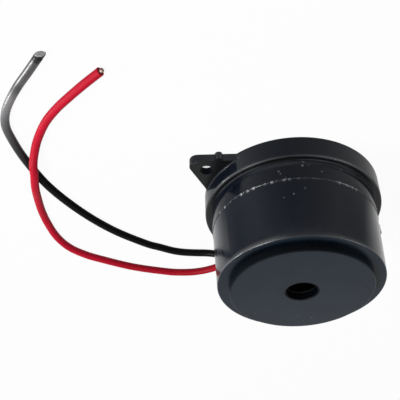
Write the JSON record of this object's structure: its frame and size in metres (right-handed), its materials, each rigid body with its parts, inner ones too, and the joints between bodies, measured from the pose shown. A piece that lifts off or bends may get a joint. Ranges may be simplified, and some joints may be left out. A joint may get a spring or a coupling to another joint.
{
  "type": "piezo buzzer",
  "caption": "Round black piezo buzzer: stepped moulded case with a raised front boss and sound hole, a wider rear flange with fixing ears, and loose red and black lead wires.",
  "frame": {"origin": "centre of the flat back face, on the case's axis", "axes": "+Z out of the sound hole, X through the two fixing ears, +Y the side where the leads leave"},
  "size_m": [0.0823, 0.0571, 0.0225],
  "materials": {
    "case_plastic": "satin moulded black",
    "base_plastic": "glossy moulded black",
    "plate_brass": "rolled, matt",
    "piezo_ceramic": "silvered, matt",
    "silicone": "cured bead, satin",
    "solder": "bright solder",
    "fine_wire_red": "satin insulation",
    "fine_wire_blue": "satin insulation",
    "fine_wire_black": "satin insulation",
    "board_laminate": "phenolic paper laminate",
    "component_epoxy": "moulded epoxy",
    "tinned_wire": "tinned copper",
    "ferrite": "sintered, matt",
    "copper_winding": "enamelled wire",
    "resistor_lacquer": "lacquer",
    "red_insulation": "soft vinyl, satin",
    "black_insulation": "soft vinyl, satin"
  },
  "bodies": {
    "root": {"front_case": "case_plastic", "rear_base": "base_plastic", "piezo_plate": "plate_brass", "piezo_ceramic": "piezo_ceramic", "plate_glue_ring": "silicone", "piezo_solder": "solder", "drive_wire": "fine_wire_red", "feedback_wire": "fine_wire_blue", "ground_wire": "fine_wire_black", "circuit_board": "board_laminate", "board_solder": "solder", "transistor": "component_epoxy", "transistor_legs": "tinned_wire", "inductor_core": "ferrite", "inductor_winding": "copper_winding", "inductor_pins": "tinned_wire", "resistors": "resistor_lacquer", "resistor_legs": "tinned_wire", "diode": "component_epoxy", "diode_legs": "tinned_wire", "red_lead": "red_insulation", "red_lead_tail": "red_insulation", "red_lead_tip": "tinned_wire", "black_lead": "black_insulation", "black_lead_tail": "black_insulation", "black_lead_tip": "tinned_wire", "lead_cores": "tinned_wire"}
  },
  "joints": []
}
